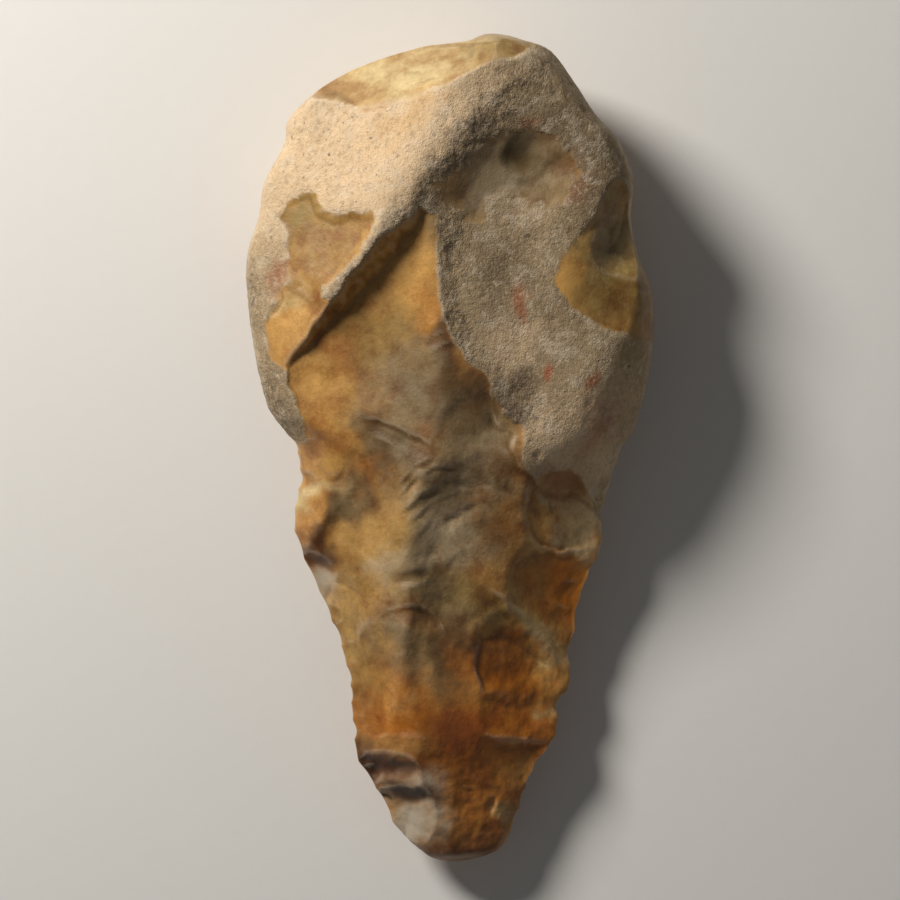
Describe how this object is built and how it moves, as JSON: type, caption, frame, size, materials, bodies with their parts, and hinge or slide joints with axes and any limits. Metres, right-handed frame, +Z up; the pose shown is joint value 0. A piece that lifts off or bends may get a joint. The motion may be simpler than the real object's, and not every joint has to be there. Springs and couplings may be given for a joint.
{
  "type": "stone hand axe",
  "caption": "Large pointed flint hand axe with a thick rind-covered butt, flaked faces, scalloped edges and a fresh chip at the point; lies flat on its back.",
  "frame": {"origin": "centre of the stone's outline seen from above, on the ground it lies on", "axes": "+Z up, out of the front face; +Y from the point to the butt; +X to the right seen from above with the butt up"},
  "size_m": [0.0982, 0.2, 0.0488],
  "materials": {
    "flint": "patinated flint: waxy ochre to honey-brown flake scars with a grey middle, and a matt granular cream rind over the butt"
  },
  "bodies": {
    "root": {"hand_axe": "flint"}
  },
  "joints": []
}
